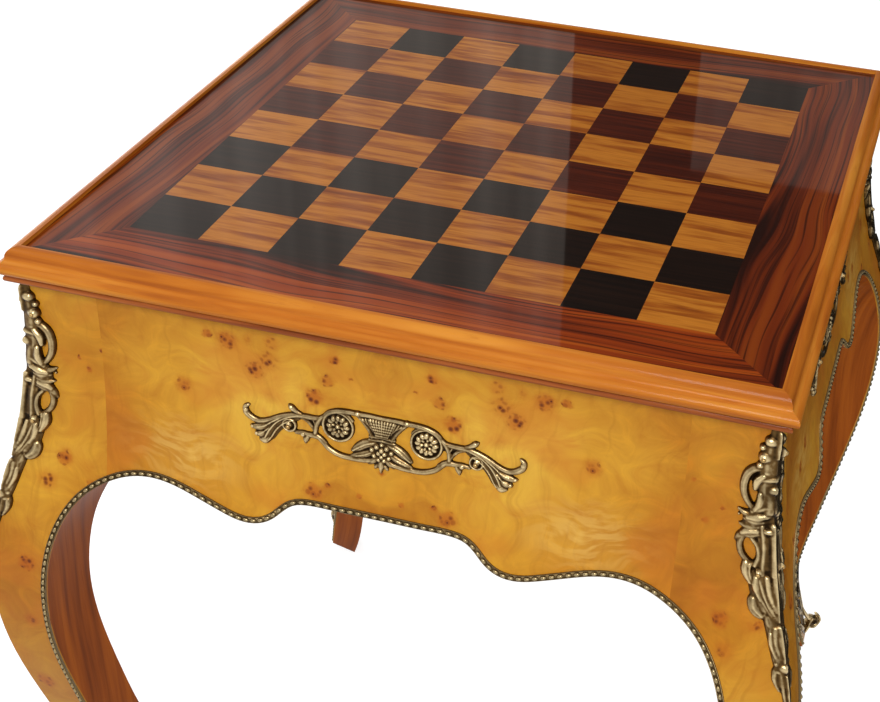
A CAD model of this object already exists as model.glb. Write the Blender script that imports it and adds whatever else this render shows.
import math

import bmesh
import bpy
import numpy as np
from mathutils import Matrix, Vector
from mathutils.bvhtree import BVHTree


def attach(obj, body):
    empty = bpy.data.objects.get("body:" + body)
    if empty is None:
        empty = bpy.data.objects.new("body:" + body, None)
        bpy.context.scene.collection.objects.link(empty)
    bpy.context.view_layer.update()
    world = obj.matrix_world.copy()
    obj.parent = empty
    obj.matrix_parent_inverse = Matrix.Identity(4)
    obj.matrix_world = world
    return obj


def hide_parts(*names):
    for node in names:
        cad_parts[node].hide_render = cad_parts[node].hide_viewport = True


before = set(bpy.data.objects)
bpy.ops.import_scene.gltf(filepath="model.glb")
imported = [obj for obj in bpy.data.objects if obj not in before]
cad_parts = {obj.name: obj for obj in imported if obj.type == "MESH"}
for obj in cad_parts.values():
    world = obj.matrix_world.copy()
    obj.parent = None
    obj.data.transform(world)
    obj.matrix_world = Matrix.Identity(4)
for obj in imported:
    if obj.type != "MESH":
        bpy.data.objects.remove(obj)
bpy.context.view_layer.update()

# Square games table: finishes for every CAD node, and cast and beaded brass mounts that
# stand for the plain ones. Ornament is drawn flat in millimetres and laid on the faces.
MM = 0.001
SIDES = ("front", "right", "back", "left")
CORNERS = ("front_left", "front_right", "back_right", "back_left")
BOARD_HEIGHT = 720.0       # playing surface above the floor, mm
SQUARE = 55.0              # side of one chess square, mm
LEG_EDGE = 0.219           # sideways from the middle to the seam between apron and leg, metres


# ---- the polished outer face, felt out on the CAD leg ----

FACE_TOP = 702.0           # highest and lowest probe, mm
FACE_FOOT = 4.0
FACE_PROBES = 360
FACE_START_OUT = 277.0     # face at the highest probe, outward from the middle of the table
PROBE_INSET = 6.0          # how far in from the leg's corner each probe lands
PROBE_BLUR = 5             # neighbouring probes that are averaged
LIFT_TURN = 4.0            # reach over which the lift swings round the leg's corner


def feel_face():
    """(heights, distances out) of the outer face in mm, from foot to top."""
    leaf = BVHTree.FromObject(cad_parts["leg_veneer_front_left"],
                              bpy.context.evaluated_depsgraph_get())
    heights = np.linspace(FACE_TOP, FACE_FOOT, FACE_PROBES)
    outs = []
    out = FACE_START_OUT
    for height in heights:
        start = Vector((-(out - PROBE_INSET) * MM, -1.0, height * MM))
        place = leaf.ray_cast(start, Vector((0, 1, 0)))[0]
        if place is not None:
            out = -place.y / MM
        outs.append(out)
    window = np.ones(PROBE_BLUR) / PROBE_BLUR
    padded = np.pad(outs, PROBE_BLUR // 2, mode="edge")
    return heights[::-1], np.convolve(padded, window, "valid")[::-1]


FACE_HEIGHTS, FACE_OUTS = feel_face()
FACE_SLOPES = np.gradient(FACE_OUTS, FACE_HEIGHTS)


def face_at(height):
    """(distance out, slope of that distance) of the outer face at a height."""
    out = float(np.interp(height, FACE_HEIGHTS, FACE_OUTS))
    return out, float(np.interp(height, FACE_HEIGHTS, FACE_SLOPES))


def on_front(point):
    """Point (sideways, height, lift) in mm laid on the front side, in metres."""
    out, slope = face_at(point.y)
    normal = Vector((0, -1, -slope)).normalized()
    return (Vector((point.x, -out, point.y)) + normal * point.z) * MM


def on_corner(point):
    """Point (reach, height, lift) laid round the front left corner; reach > 0 is the front side."""
    out, slope = face_at(point.y)
    share = min(1.0, max(0.0, (point.x + LIFT_TURN) / (2 * LIFT_TURN)))
    angle = math.radians(180 + 90 * share)
    normal = Vector((math.cos(angle), math.sin(angle), -slope)).normalized()
    if point.x >= 0:
        base = Vector((-out + point.x, -out, point.y))
    else:
        base = Vector((-out, -out - point.x, point.y))
    return (base + normal * point.z) * MM


# ---- shaping in bmesh ----

THINNEST = 0.12            # least half width and height of a bar
END_ROUNDING = ((0.9, 0.15), (0.62, 0.62))     # (beyond the end, share of the width)
HOOP_STEP = 20             # degrees between a hoop's stations
BACK_SHARE = 0.08          # depth that is left behind the face when a casting's back is flattened
HEIGHT_SHARE = 0.75        # how far a point's height makes it proud
CREST_GAIN = 6.0           # how far a crest or a hollow does, for each mm
PROUD_LEAST = 0.1


def placed(name, data):
    """New object in the scene, at the origin."""
    thing = bpy.data.objects.new(name, data)
    bpy.context.scene.collection.objects.link(thing)
    return thing


def poured(bm, part):
    """Add one finished bmesh to another."""
    mesh = bpy.data.meshes.new("part")
    part.to_mesh(mesh)
    part.free()
    bm.from_mesh(mesh)
    bpy.data.meshes.remove(mesh)


def eased(rows, steps):
    """Rows of numbers joined by a smooth curve, with steps pieces between each two."""
    rows = np.array(rows, float)
    ends = np.vstack([2 * rows[0] - rows[1], rows, 2 * rows[-1] - rows[-2]])
    made = []
    for i in range(len(rows) - 1):
        a, b, c, d = ends[i:i + 4]
        for t in np.arange(steps) / steps:
            made.append(0.5 * (2 * b + (c - a) * t + (2 * a - 5 * b + 4 * c - d) * t * t
                               + (3 * b - a - 3 * c + d) * t ** 3))
    made.append(rows[-1])
    return np.array(made)


def station(place, along, half_width, height):
    """Matrix that carries a unit circle to a bar's cross section."""
    across = Vector((-along.y, along.x, 0)).normalized()
    forward = across.cross(Vector((0, 0, 1)))
    columns = (across * half_width, Vector((0, 0, height)), forward)
    matrix = Matrix.Identity(4)
    for i, column in enumerate(columns):
        matrix.col[i] = (*column, 0)
    matrix.translation = place
    return matrix


def bar(bm, rows, sides=10, steps=4):
    """Rounded bar along a smooth curve through rows of (x, y, half width, height)."""
    line = eased(rows, steps)
    line[:, 2:] = np.maximum(line[:, 2:], THINNEST)
    runs = np.gradient(line[:, :2], axis=0)
    stations = []
    for row, run in zip(line, runs):
        place = Vector((row[0], row[1], 0))
        stations.append((place, Vector((*run, 0)).normalized(), row[2], row[3]))
    head, tail = stations[0], stations[-1]
    start = [(head[0] - head[1] * head[2] * beyond, head[1], head[2] * share, head[3] * share)
             for beyond, share in END_ROUNDING]
    finish = [(tail[0] + tail[1] * tail[2] * beyond, tail[1], tail[2] * share, tail[3] * share)
              for beyond, share in reversed(END_ROUNDING)]
    matrices = [station(*each) for each in start + stations + finish]
    part = bmesh.new()
    ring = bmesh.ops.create_circle(part, cap_ends=True, segments=sides, radius=1.0,
                                   matrix=matrices[0])
    face = ring["verts"][0].link_faces[0]
    for before, after in zip(matrices, matrices[1:]):
        made = bmesh.ops.extrude_face_region(part, geom=[face])["geom"]
        verts = [each for each in made if isinstance(each, bmesh.types.BMVert)]
        face = next(each for each in made if isinstance(each, bmesh.types.BMFace))
        bmesh.ops.transform(part, matrix=after @ before.inverted(), verts=verts)
    bmesh.ops.recalc_face_normals(part, faces=part.faces)
    poured(bm, part)


def bead(bm, x, y, radius, height, stretch=1.0, angle=0.0):
    """Domed bead, stretched along a direction in the plane."""
    part = bmesh.new()
    matrix = (Matrix.Translation((x, y, 0)) @ Matrix.Rotation(math.radians(angle), 4, "Z")
              @ Matrix.Diagonal((radius * stretch, radius, height, 1)))
    bmesh.ops.create_uvsphere(part, u_segments=16, v_segments=10, radius=1.0, matrix=matrix)
    poured(bm, part)


def hoop(bm, x, y, radius, half_width, height, from_angle=0, to_angle=360):
    """Bar bent to an arc; a whole turn closes on itself."""
    count = max(6, (to_angle - from_angle) // HOOP_STEP)
    rows = []
    for i in range(count + 1):
        angle = math.radians(from_angle + (to_angle - from_angle) * i / count)
        rows.append((x + radius * math.cos(angle), y + radius * math.sin(angle),
                     half_width, height))
    bar(bm, rows, sides=8, steps=2)


def mirrored(bm):
    """Add the left half of a symmetrical ornament."""
    bmesh.ops.mirror(bm, geom=bm.verts[:] + bm.edges[:] + bm.faces[:], axis="X", merge_dist=-1.0)
    bmesh.ops.recalc_face_normals(bm, faces=bm.faces)


def melted(bm, grain, rounds):
    """Melt overlapping bars and beads into one skin and soften it."""
    mesh = bpy.data.meshes.new("casting")
    bm.to_mesh(mesh)
    bm.free()
    blank = placed("casting", mesh)
    melt = blank.modifiers.new("melt", "REMESH")
    melt.mode = "VOXEL"
    melt.voxel_size = grain
    skin = bpy.data.meshes.new_from_object(
        blank.evaluated_get(bpy.context.evaluated_depsgraph_get()))
    made = bmesh.new()
    made.from_mesh(skin)
    for _ in range(rounds):
        bmesh.ops.smooth_vert(made, verts=made.verts, factor=0.5,
                              use_axis_x=True, use_axis_y=True, use_axis_z=True)
    bpy.data.objects.remove(blank)
    bpy.data.meshes.remove(mesh)
    bpy.data.meshes.remove(skin)
    return made


def cast(bm, grain, rounds):
    """Melt a flat ornament and flatten its back."""
    made = melted(bm, grain, rounds)
    back = [vert for vert in made.verts if vert.co.z < 0]
    bmesh.ops.scale(made, vec=(1, 1, BACK_SHARE), verts=back)
    return made


def mark_proud(bm, share_at):
    """Store how proud each point stands, from 0 in the hollows to 1 on the rubbed crests."""
    proud = bm.verts.layers.float.new("proud")
    for vert in bm.verts:
        vert[proud] = min(1.0, max(0.0, share_at(vert)))


def mark_hollows(bm, full_height):
    """Mark a flat ornament by its height and by how it curves."""
    def share_at(vert):
        around = sum((edge.other_vert(vert).co for edge in vert.link_edges), Vector())
        middle = around / max(1, len(vert.link_edges))
        crest = (vert.co - middle).dot(vert.normal)
        return HEIGHT_SHARE * vert.co.z / full_height + crest * CREST_GAIN + PROUD_LEAST
    mark_proud(bm, share_at)


def laid(bm, lay):
    """Move every point of a flat ornament on to the table."""
    for vert in bm.verts:
        vert.co = lay(vert.co)


def built(bm, name, finish, stands_for, turn):
    """Make one piece of the table from a bmesh in metres, turned by quarter turns."""
    mesh = bpy.data.meshes.new(name)
    bm.to_mesh(mesh)
    mesh.transform(Matrix.Rotation(math.radians(90 * turn), 4, "Z"))
    mesh.polygons.foreach_set("use_smooth", [True] * len(mesh.polygons))
    mesh.materials.append(finish)
    piece = placed(name, mesh)
    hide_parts(stands_for)
    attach(piece, "root")


def built_round(bm, made, node, places, finish):
    """Make the same piece at every side or corner, in the place of its plain CAD node."""
    for turn, place in enumerate(places):
        built(bm, made + "_" + place, finish, node + "_" + place, turn)
    bm.free()


# ---- finishes ----

def tint(red, green, blue):
    """Display colour, 0 to 255, as a shader colour."""
    def linear(value):
        value /= 255
        return value / 12.92 if value <= 0.04045 else ((value + 0.055) / 1.055) ** 2.4
    return (linear(red), linear(green), linear(blue), 1.0)


class Finish:
    """A material with one principled shader, and short names for the nodes that feed it."""

    def __init__(self, name, **sockets):
        self.material = bpy.data.materials.new(name)
        self.material.use_nodes = True
        self.tree = self.material.node_tree
        self.shader = self.tree.nodes["Principled BSDF"]
        for socket, value in sockets.items():
            self.give(socket.replace("_", " "), value)
        self.place = self.tree.nodes.new("ShaderNodeTexCoord").outputs["Object"]
        self.x, self.y, self.z = self.split(self.place)

    def feed(self, socket, value):
        if isinstance(value, bpy.types.NodeSocket):
            self.tree.links.new(value, socket)
        else:
            socket.default_value = value

    def give(self, socket, value):
        self.feed(self.shader.inputs[socket], value)

    def math(self, operation, *values):
        node = self.tree.nodes.new("ShaderNodeMath")
        node.operation = operation
        for socket, value in zip(node.inputs, values):
            self.feed(socket, value)
        return node.outputs[0]

    def add(self, *values):
        total = values[0]
        for value in values[1:]:
            total = self.math("ADD", total, value)
        return total

    def times(self, first, second):
        return self.math("MULTIPLY", first, second)

    def rest(self, share):
        """What a share leaves of one."""
        return self.math("SUBTRACT", 1.0, share)

    def far(self, value):
        """Distance from zero."""
        return self.math("ABSOLUTE", value)

    def sway(self, noise, reach):
        """Noise brought to swing both ways round zero."""
        return self.times(self.math("SUBTRACT", noise, 0.5), reach)

    def split(self, vector):
        node = self.tree.nodes.new("ShaderNodeSeparateXYZ")
        self.feed(node.inputs[0], vector)
        return node.outputs

    def join(self, x, y, z):
        node = self.tree.nodes.new("ShaderNodeCombineXYZ")
        for socket, value in zip(node.inputs, (x, y, z)):
            self.feed(socket, value)
        return node.outputs[0]

    def vector(self, operation, first, second):
        node = self.tree.nodes.new("ShaderNodeVectorMath")
        node.operation = operation
        self.feed(node.inputs[0], first)
        if operation == "SCALE":
            self.feed(node.inputs["Scale"], second)
        else:
            self.feed(node.inputs[1], second)
        return node.outputs["Value" if operation == "DISTANCE" else "Vector"]

    def stretched(self, vector, *factors):
        return self.vector("MULTIPLY", vector, factors)

    def shaken(self, vector, scale, reach):
        """Offset of a point by noise, up to half the reach each way."""
        drift = self.noise(vector, scale, 2.0, colour=True)
        return self.vector("SCALE", self.vector("SUBTRACT", drift, (0.5, 0.5, 0.5)), reach)

    def noise(self, vector, scale, detail=3.0, roughness=0.55, distortion=0.0, colour=False):
        node = self.tree.nodes.new("ShaderNodeTexNoise")
        values = {"Vector": vector, "Scale": scale, "Detail": detail, "Roughness": roughness,
                  "Distortion": distortion}
        for socket, value in values.items():
            self.feed(node.inputs[socket], value)
        return node.outputs["Color" if colour else "Fac"]

    def cells(self, vector, scale, randomness=1.0, dimensions="3D"):
        """(distance to the nearest cell's middle, that cell's random colour)"""
        node = self.tree.nodes.new("ShaderNodeTexVoronoi")
        node.voronoi_dimensions = dimensions
        for socket, value in (("Vector", vector), ("Scale", scale), ("Randomness", randomness)):
            self.feed(node.inputs[socket], value)
        return node.outputs["Distance"], node.outputs["Color"]

    def chance(self, vector):
        """Random value that is the same wherever the vector is."""
        node = self.tree.nodes.new("ShaderNodeTexWhiteNoise")
        self.feed(node.inputs["Vector"], vector)
        return node.outputs["Value"]

    def span(self, value, low, high, to_low=0.0, to_high=1.0, kind="SMOOTHSTEP"):
        node = self.tree.nodes.new("ShaderNodeMapRange")
        node.interpolation_type = kind
        for socket, each in zip(("Value", "From Min", "From Max", "To Min", "To Max"),
                                (value, low, high, to_low, to_high)):
            self.feed(node.inputs[socket], each)
        return node.outputs["Result"]

    def mix(self, factor, first, second, mode="MIX"):
        node = self.tree.nodes.new("ShaderNodeMix")
        node.data_type = "RGBA"
        node.blend_type = mode
        node.clamp_factor = True
        self.feed(node.inputs[0], factor)
        self.feed(node.inputs[6], first)
        self.feed(node.inputs[7], second)
        return node.outputs[2]

    def ramp(self, factor, *stops):
        """Colour ramp through stops of (position, colour)."""
        node = self.tree.nodes.new("ShaderNodeValToRGB")
        band = node.color_ramp
        while len(band.elements) < len(stops):
            band.elements.new(0.5)
        for element, (position, colour) in zip(band.elements, stops):
            element.position = position
            element.color = colour
        self.feed(node.inputs["Fac"], factor)
        return node.outputs["Color"]

    def relief(self, height, strength, distance, socket="Normal"):
        node = self.tree.nodes.new("ShaderNodeBump")
        for name, value in (("Height", height), ("Strength", strength), ("Distance", distance)):
            self.feed(node.inputs[name], value)
        self.give(socket, node.outputs["Normal"])

    def attribute(self, name):
        node = self.tree.nodes.new("ShaderNodeAttribute")
        node.attribute_name = name
        return node.outputs["Fac"]

    def facing(self):
        """1 on faces that look along X, 0 on faces that look along Y."""
        geometry = self.tree.nodes.new("ShaderNodeNewGeometry")
        x, y, _ = self.split(geometry.outputs["True Normal"])
        return self.math("GREATER_THAN", self.far(x), self.far(y))

    def polish(self, scale, strength, distance):
        """Slow ripple in the lacquer."""
        self.relief(self.noise(self.place, scale, 1.0), strength, distance, "Coat Normal")


BOARD_GLOSS = {"Coat_Weight": 0.7, "Coat_Roughness": 0.03, "Coat_IOR": 1.34,
               "Specular_IOR_Level": 0.03}
FRAME_GLOSS = {"Coat_Weight": 0.26, "Coat_Roughness": 0.09, "Coat_IOR": 1.4,
               "Specular_IOR_Level": 0.05}
BOARD_RIPPLE = (26.0, 0.02, 0.0006)     # scale, strength and depth in the board's lacquer


def lengthwise(f):
    """(along, across, side number) on strips that run round the top and meet at mitres."""
    front = f.math("GREATER_THAN", f.far(f.y), f.far(f.x))
    side = f.rest(front)
    along = f.add(f.times(f.x, front), f.times(f.y, side))
    across = f.add(f.times(f.far(f.y), front), f.times(f.far(f.x), side))
    signs = f.add(f.times(f.math("SIGN", f.y), front), f.times(f.math("SIGN", f.x), side))
    return along, across, f.add(f.times(front, 2.0), signs)


def grain_streaks(f, along, across, third, stretch, fineness, wander):
    """Long fibres: noise drawn out along the grain and bent a little."""
    bend = f.noise(f.join(f.times(along, 3.0), f.times(across, 9.0), third), 1.0, 2.0)
    bent = f.add(across, f.sway(bend, wander))
    return f.noise(f.join(f.times(along, stretch), f.times(bent, fineness), third), 1.0, 4.0, 0.6)


# Burl clusters that show on the front: (sideways, drop, radius, depth of the stain), mm.
APRON_BURLS = ((51.5, 76, 9, 1.0), (36, 42, 4.5, 0.8), (42, 60, 7, 0.75), (24.5, 55, 2.5, 0.6),
               (84, 38, 8, 0.55), (87, 53, 11, 0.6), (97, 63, 10, 0.75), (118, 43, 10, 0.75),
               (133, 40, 5, 1.0), (154.5, 87, 9, 0.75), (41, 146, 4, 0.7), (52, 152, 9, 0.8),
               (16, 149, 3, 0.8), (0, 127, 3.5, 0.9), (86, 84, 8, 0.35), (102, 40, 5, 0.4))
LEG_BURLS = ((-231, 91, 4, 0.9), (-239, 83, 2.5, 0.9), (-219, 73, 3, 1.0), (-254, 168, 8, 1.0),
             (-269, 188, 10, 0.6), (-232, 184, 5, 0.6), (-287, 262, 9, 0.9), (-279, 168, 8, 0.35),
             (-291, 322, 8, 0.5), (236, 110, 4.5, 0.8), (246, 98, 2.5, 0.8), (225, 80, 2.5, 0.7),
             (256, 182, 8, 0.8), (282, 182, 7, 0.55), (263, 205, 10, 0.5), (272, 36, 9, 0.3))


PALE_FIGURE = (155, 143, 1.7)     # (sideways, drop, flatness) of the pale feathered patch
BURL_SPREAD = (1.15, 0.25)        # shares of a cluster's radius where its stain starts and is full
PLACED_BURL_FOOT = 0.40           # height above which the front has placed clusters only, metres
EYE_FINENESS = 215.0              # cells in a metre, one eye in each


def burl_finish():
    """Poplar burl under gloss lacquer: clouded gold, curled figure and clusters of eyes."""
    f = Finish("golden_burl", Roughness=0.45, **FRAME_GLOSS)
    side = f.facing()
    front = f.rest(side)
    across = f.add(f.times(f.x, front), f.times(f.y, side))
    outward = f.add(f.times(f.math("SIGN", f.y), front), f.times(f.math("SIGN", f.x), side))
    number = f.add(f.times(outward, 1.7), f.times(side, 5.3))
    on_leg = f.math("GREATER_THAN", f.far(across), LEG_EDGE)
    folded = f.add(f.times(f.far(across), f.rest(on_leg)), f.times(across, on_leg))
    leaf = f.add(number, f.times(on_leg, f.add(3.1, f.math("SIGN", across))))
    flat = f.join(folded, f.z, leaf)
    bent = f.vector("ADD", flat, f.shaken(flat, 14.0, 0.06))

    cloud = f.noise(flat, 7.0, 3.0, 0.5)
    gold = f.ramp(cloud, (0.28, tint(156, 88, 14)), (0.45, tint(188, 122, 26)),
                  (0.6, tint(208, 148, 42)), (0.78, tint(226, 172, 64)))
    curl = f.noise(f.stretched(bent, 30.0, 40.0, 1.0), 1.0, 4.0, 0.62, 1.6)
    gold = f.mix(0.34, gold, f.ramp(curl, (0.3, tint(150, 120, 86)), (0.5, tint(188, 188, 188)),
                                   (0.72, tint(236, 232, 220))), "OVERLAY")
    fibres = f.noise(f.stretched(bent, 150.0, 9.0, 1.0), 1.0, 3.0, 0.6)
    gold = f.mix(f.span(fibres, 0.5, 0.74, 0.0, 0.3), gold, tint(166, 98, 18))
    sideways, drop, flatness = PALE_FIGURE
    band = f.vector("DISTANCE", f.stretched(f.join(folded, f.z, 0.0), 1.0, flatness, 0.0),
                    (sideways * MM, (BOARD_HEIGHT - drop) * MM * flatness, 0.0))
    feather = f.noise(f.stretched(bent, 60.0, 190.0, 1.0), 1.0, 2.0, 0.5)
    gold = f.mix(f.times(f.span(band, 0.07, 0.0), f.span(feather, 0.4, 0.62, 0.1, 0.5)), gold,
                 tint(234, 190, 100))
    warm = f.noise(flat, 16.0, 2.0, 0.5, 0.6)
    gold = f.mix(f.span(warm, 0.52, 0.72, 0.0, 0.45), gold, tint(198, 112, 30))

    def clusters():
        """Strength of the stain round the eyes: placed on the front, left to chance elsewhere."""
        wobble = f.shaken(flat, 160.0, 0.007)
        here = f.vector("ADD", f.join(folded, f.z, 0.0), f.stretched(wobble, 1, 1, 0))
        placed_ones = None
        for sideways, drop, radius, depth in APRON_BURLS + LEG_BURLS:
            middle = (sideways * MM, (BOARD_HEIGHT - drop) * MM, 0.0)
            outer, inner = (radius * MM * share for share in BURL_SPREAD)
            near = f.span(f.vector("DISTANCE", here, middle), outer, inner, 0.0, depth)
            placed_ones = near if placed_ones is None else f.math("MAXIMUM", placed_ones, near)
        is_front = f.times(front, f.math("LESS_THAN", f.y, 0.0))
        unrolled = f.join(f.add(folded, f.times(leaf, 3.7)), f.add(f.z, leaf), 0.0)
        distance, chance = f.cells(f.vector("ADD", unrolled, wobble), 26.0, 0.9, "2D")
        lucky, large, strong = f.split(chance)
        size = f.span(large, 0.0, 1.0, 0.16, 0.38, "LINEAR")
        strewn = f.times(f.times(f.span(distance, size, 0.04), f.math("GREATER_THAN", lucky, 0.5)),
                         f.span(strong, 0.0, 1.0, 0.5, 1.0, "LINEAR"))
        bare = f.times(is_front, f.math("GREATER_THAN", f.z, PLACED_BURL_FOOT))
        return f.math("MAXIMUM", f.times(placed_ones, is_front), f.times(strewn, f.rest(bare)))

    gold = f.mix(f.times(on_leg, f.span(f.z, 0.62, 0.3, 0.0, 0.3)), gold, tint(158, 88, 14))
    stain = clusters()
    gold = f.mix(f.span(stain, 0.0, 0.9, 0.0, 0.72, "LINEAR"), gold, tint(178, 88, 16))
    eye_distance, eye_chance = f.cells(f.stretched(flat, 1, 1, 0.5), EYE_FINENESS, 0.95)
    eye_size = f.span(f.split(eye_chance)[0], 0.1, 1.0, 0.18, 0.6, "LINEAR")
    inside = f.span(stain, 0.3, 0.62)
    eyes = f.times(f.span(eye_distance, eye_size, 0.1), inside)
    ring = f.times(f.span(eye_distance, 0.62, 0.35), inside)
    gold = f.mix(f.times(ring, 0.7), gold, tint(150, 74, 14))
    gold = f.mix(f.times(eyes, 0.94), gold, tint(88, 32, 8))
    f.give("Base Color", gold)
    dents = f.noise(f.place, 55.0, 2.0)
    f.relief(f.add(dents, f.times(eyes, -0.35)), 0.12, 0.0006)
    f.polish(38.0, 0.05, 0.0006)
    return f.material


def rosewood_finish():
    """Dark streaked rosewood, its grain running along each border strip."""
    f = Finish("rosewood", Roughness=0.4, **BOARD_GLOSS)
    along, across, number = lengthwise(f)
    third = f.times(number, 2.3)
    sway = f.noise(f.join(f.times(along, 2.6), f.times(across, 5.0), third), 1.0, 2.0, 0.5)
    bent = f.add(across, f.sway(sway, 0.075))
    figure = f.noise(f.join(f.times(along, 1.2), f.times(bent, 44.0), third), 1.0, 3.0, 0.62, 0.6)
    colour = f.ramp(figure, (0.34, tint(32, 10, 4)), (0.43, tint(84, 28, 7)),
                    (0.52, tint(134, 50, 9)), (0.64, tint(166, 76, 15)), (0.8, tint(120, 40, 8)))
    lines = f.noise(f.join(f.times(along, 5.0), f.times(bent, 420.0), third), 1.0, 2.0, 0.5)
    colour = f.mix(f.span(lines, 0.5, 0.66, 0.0, 0.75), colour, tint(34, 11, 5))
    # the three strips other than the front one are darker veneer
    other_strips = f.math("GREATER_THAN", f.add(f.y, f.far(f.x)), 0.0)
    colour = f.mix(f.times(other_strips, 0.38), colour, tint(34, 13, 7))
    f.give("Base Color", colour)
    f.relief(lines, 0.05, 0.0002)
    f.polish(*BOARD_RIPPLE)
    return f.material


def square_grain(f, fineness, wander):
    """(streaks, chance, third coordinate), the grain along X and a new piece in each square."""
    column = f.math("FLOOR", f.times(f.x, 1 / (SQUARE * MM)))
    row = f.math("FLOOR", f.times(f.y, 1 / (SQUARE * MM)))
    chance = f.chance(f.join(column, row, 0.5))
    third = f.times(chance, 40.0)
    return grain_streaks(f, f.x, f.y, third, 9.0, fineness, wander), chance, third


def light_finish():
    """Honey coloured veneer with thin brown streaks."""
    f = Finish("honey_veneer", Roughness=0.4, **BOARD_GLOSS)
    streaks, chance, third = square_grain(f, 92.0, 0.03)
    fine = grain_streaks(f, f.x, f.y, f.add(third, 7.0), 14.0, 700.0, 0.01)
    colour = f.ramp(streaks, (0.3, tint(112, 48, 9)), (0.43, tint(152, 80, 18)),
                    (0.55, tint(190, 118, 36)), (0.75, tint(172, 98, 25)))
    colour = f.mix(0.28, colour, f.ramp(fine, (0.3, tint(110, 96, 80)), (0.7, tint(214, 210, 204))),
                   "OVERLAY")
    colour = f.mix(f.span(chance, 0.0, 1.0, 0.0, 0.22, "LINEAR"), colour, tint(150, 84, 30))
    f.give("Base Color", colour)
    f.relief(fine, 0.05, 0.0002)
    f.polish(*BOARD_RIPPLE)
    return f.material


def dark_finish(name, deep, middle, pale):
    """Dyed veneer with faint fine streaks."""
    f = Finish(name, Roughness=0.42, **BOARD_GLOSS)
    streaks, chance, _ = square_grain(f, 240.0, 0.01)
    colour = f.ramp(streaks, (0.32, deep), (0.52, middle), (0.74, pale))
    colour = f.mix(f.span(chance, 0.0, 1.0, 0.0, 0.35, "LINEAR"), colour, deep)
    f.give("Base Color", colour)
    f.relief(streaks, 0.05, 0.0002)
    f.polish(*BOARD_RIPPLE)
    return f.material


def moulding_finish(name, pale, middle, deep):
    """Straight-grained moulding with dark pores, its grain running along it."""
    f = Finish(name, Roughness=0.42, **FRAME_GLOSS)
    along, across, number = lengthwise(f)
    upright = f.add(across, f.times(f.z, 1.3))
    figure = grain_streaks(f, along, upright, f.times(number, 1.9), 4.0, 130.0, 0.02)
    pores = grain_streaks(f, along, upright, f.add(number, 11.0), 22.0, 1400.0, 0.004)
    colour = f.ramp(figure, (0.3, deep), (0.48, middle), (0.68, pale))
    colour = f.mix(f.span(pores, 0.56, 0.72, 0.0, 0.45), colour, deep)
    f.give("Base Color", colour)
    f.relief(pores, 0.06, 0.0002)
    f.polish(60.0, 0.05, 0.0004)
    return f.material


LEG_EDGE_SQUARED = 0.048          # x times y, in square metres, beyond which wood belongs to a leg


def upright_wood(name, pale, middle, deep, roughness, coat):
    """Solid timber with its grain running up and down on legs, and along on rails."""
    f = Finish(name, Roughness=roughness, Coat_Weight=coat, Coat_Roughness=0.15,
               Specular_IOR_Level=0.05)
    leg = f.math("GREATER_THAN", f.times(f.far(f.x), f.far(f.y)), LEG_EDGE_SQUARED)
    rail = f.rest(leg)
    level = f.add(f.x, f.y)
    along = f.add(f.times(f.z, leg), f.times(level, rail))
    across = f.add(f.times(level, leg), f.times(f.z, rail))
    figure = grain_streaks(f, along, across, leg, 4.0, 90.0, 0.03)
    pores = grain_streaks(f, along, across, f.add(leg, 5.0), 16.0, 900.0, 0.006)
    colour = f.ramp(figure, (0.3, deep), (0.5, middle), (0.72, pale))
    colour = f.mix(f.span(pores, 0.55, 0.72, 0.0, 0.5), colour, deep)
    f.give("Base Color", colour)
    f.give("Roughness", f.span(pores, 0.3, 0.8, roughness - 0.06, roughness + 0.12, "LINEAR"))
    f.relief(pores, 0.12, 0.0003)
    return f.material


def plain_sheet(name, pale, deep, roughness):
    """Unpolished sheet, peeled along X."""
    f = Finish(name, Roughness=roughness)
    figure = grain_streaks(f, f.x, f.y, f.times(f.z, 900.0), 5.0, 80.0, 0.05)
    f.give("Base Color", f.ramp(figure, (0.3, deep), (0.7, pale)))
    f.relief(figure, 0.15, 0.0003)
    return f.material


def brass_finish(name, bright, middle, dark, patina):
    """Old lacquered brass: dark in the hollows, rubbed bright on the crests."""
    f = Finish(name, Metallic=1.0)
    proud = f.attribute("proud")
    dirt = f.noise(f.place, 260.0, 3.0, 0.6)
    worn = f.add(proud, f.sway(dirt, 0.35))
    colour = f.ramp(worn, (0.16, dark), (0.5, middle), (0.9, bright))
    blotch = f.noise(f.place, 45.0, 3.0)
    colour = f.mix(f.span(blotch, 0.5, 0.75, 0.0, patina), colour, dark)
    f.give("Base Color", colour)
    f.give("Roughness", f.span(worn, 0.15, 0.85, 0.46, 0.24, "LINEAR"))
    f.relief(f.noise(f.place, 700.0, 3.0, 0.6), 0.25, 0.0003)
    return f.material


def plain_metal(name, colour, roughness, worn=tint(70, 66, 60)):
    """Screws and pins: plain metal with turning marks."""
    f = Finish(name, Metallic=1.0)
    scuff = f.noise(f.place, 900.0, 2.0)
    f.give("Base Color", f.mix(f.span(scuff, 0.4, 0.7, 0.0, 0.4), colour, worn))
    f.give("Roughness", f.span(scuff, 0.3, 0.7, roughness - 0.08, roughness + 0.14, "LINEAR"))
    f.relief(scuff, 0.1, 0.0001)
    return f.material


def glide_finish():
    """Scuffed nylon."""
    f = Finish("nylon_glide")
    scuff = f.noise(f.place, 400.0, 3.0)
    f.give("Base Color", f.mix(scuff, tint(196, 186, 164), tint(150, 138, 116)))
    f.give("Roughness", f.span(scuff, 0.3, 0.7, 0.4, 0.65, "LINEAR"))
    f.relief(scuff, 0.1, 0.0002)
    return f.material


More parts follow.
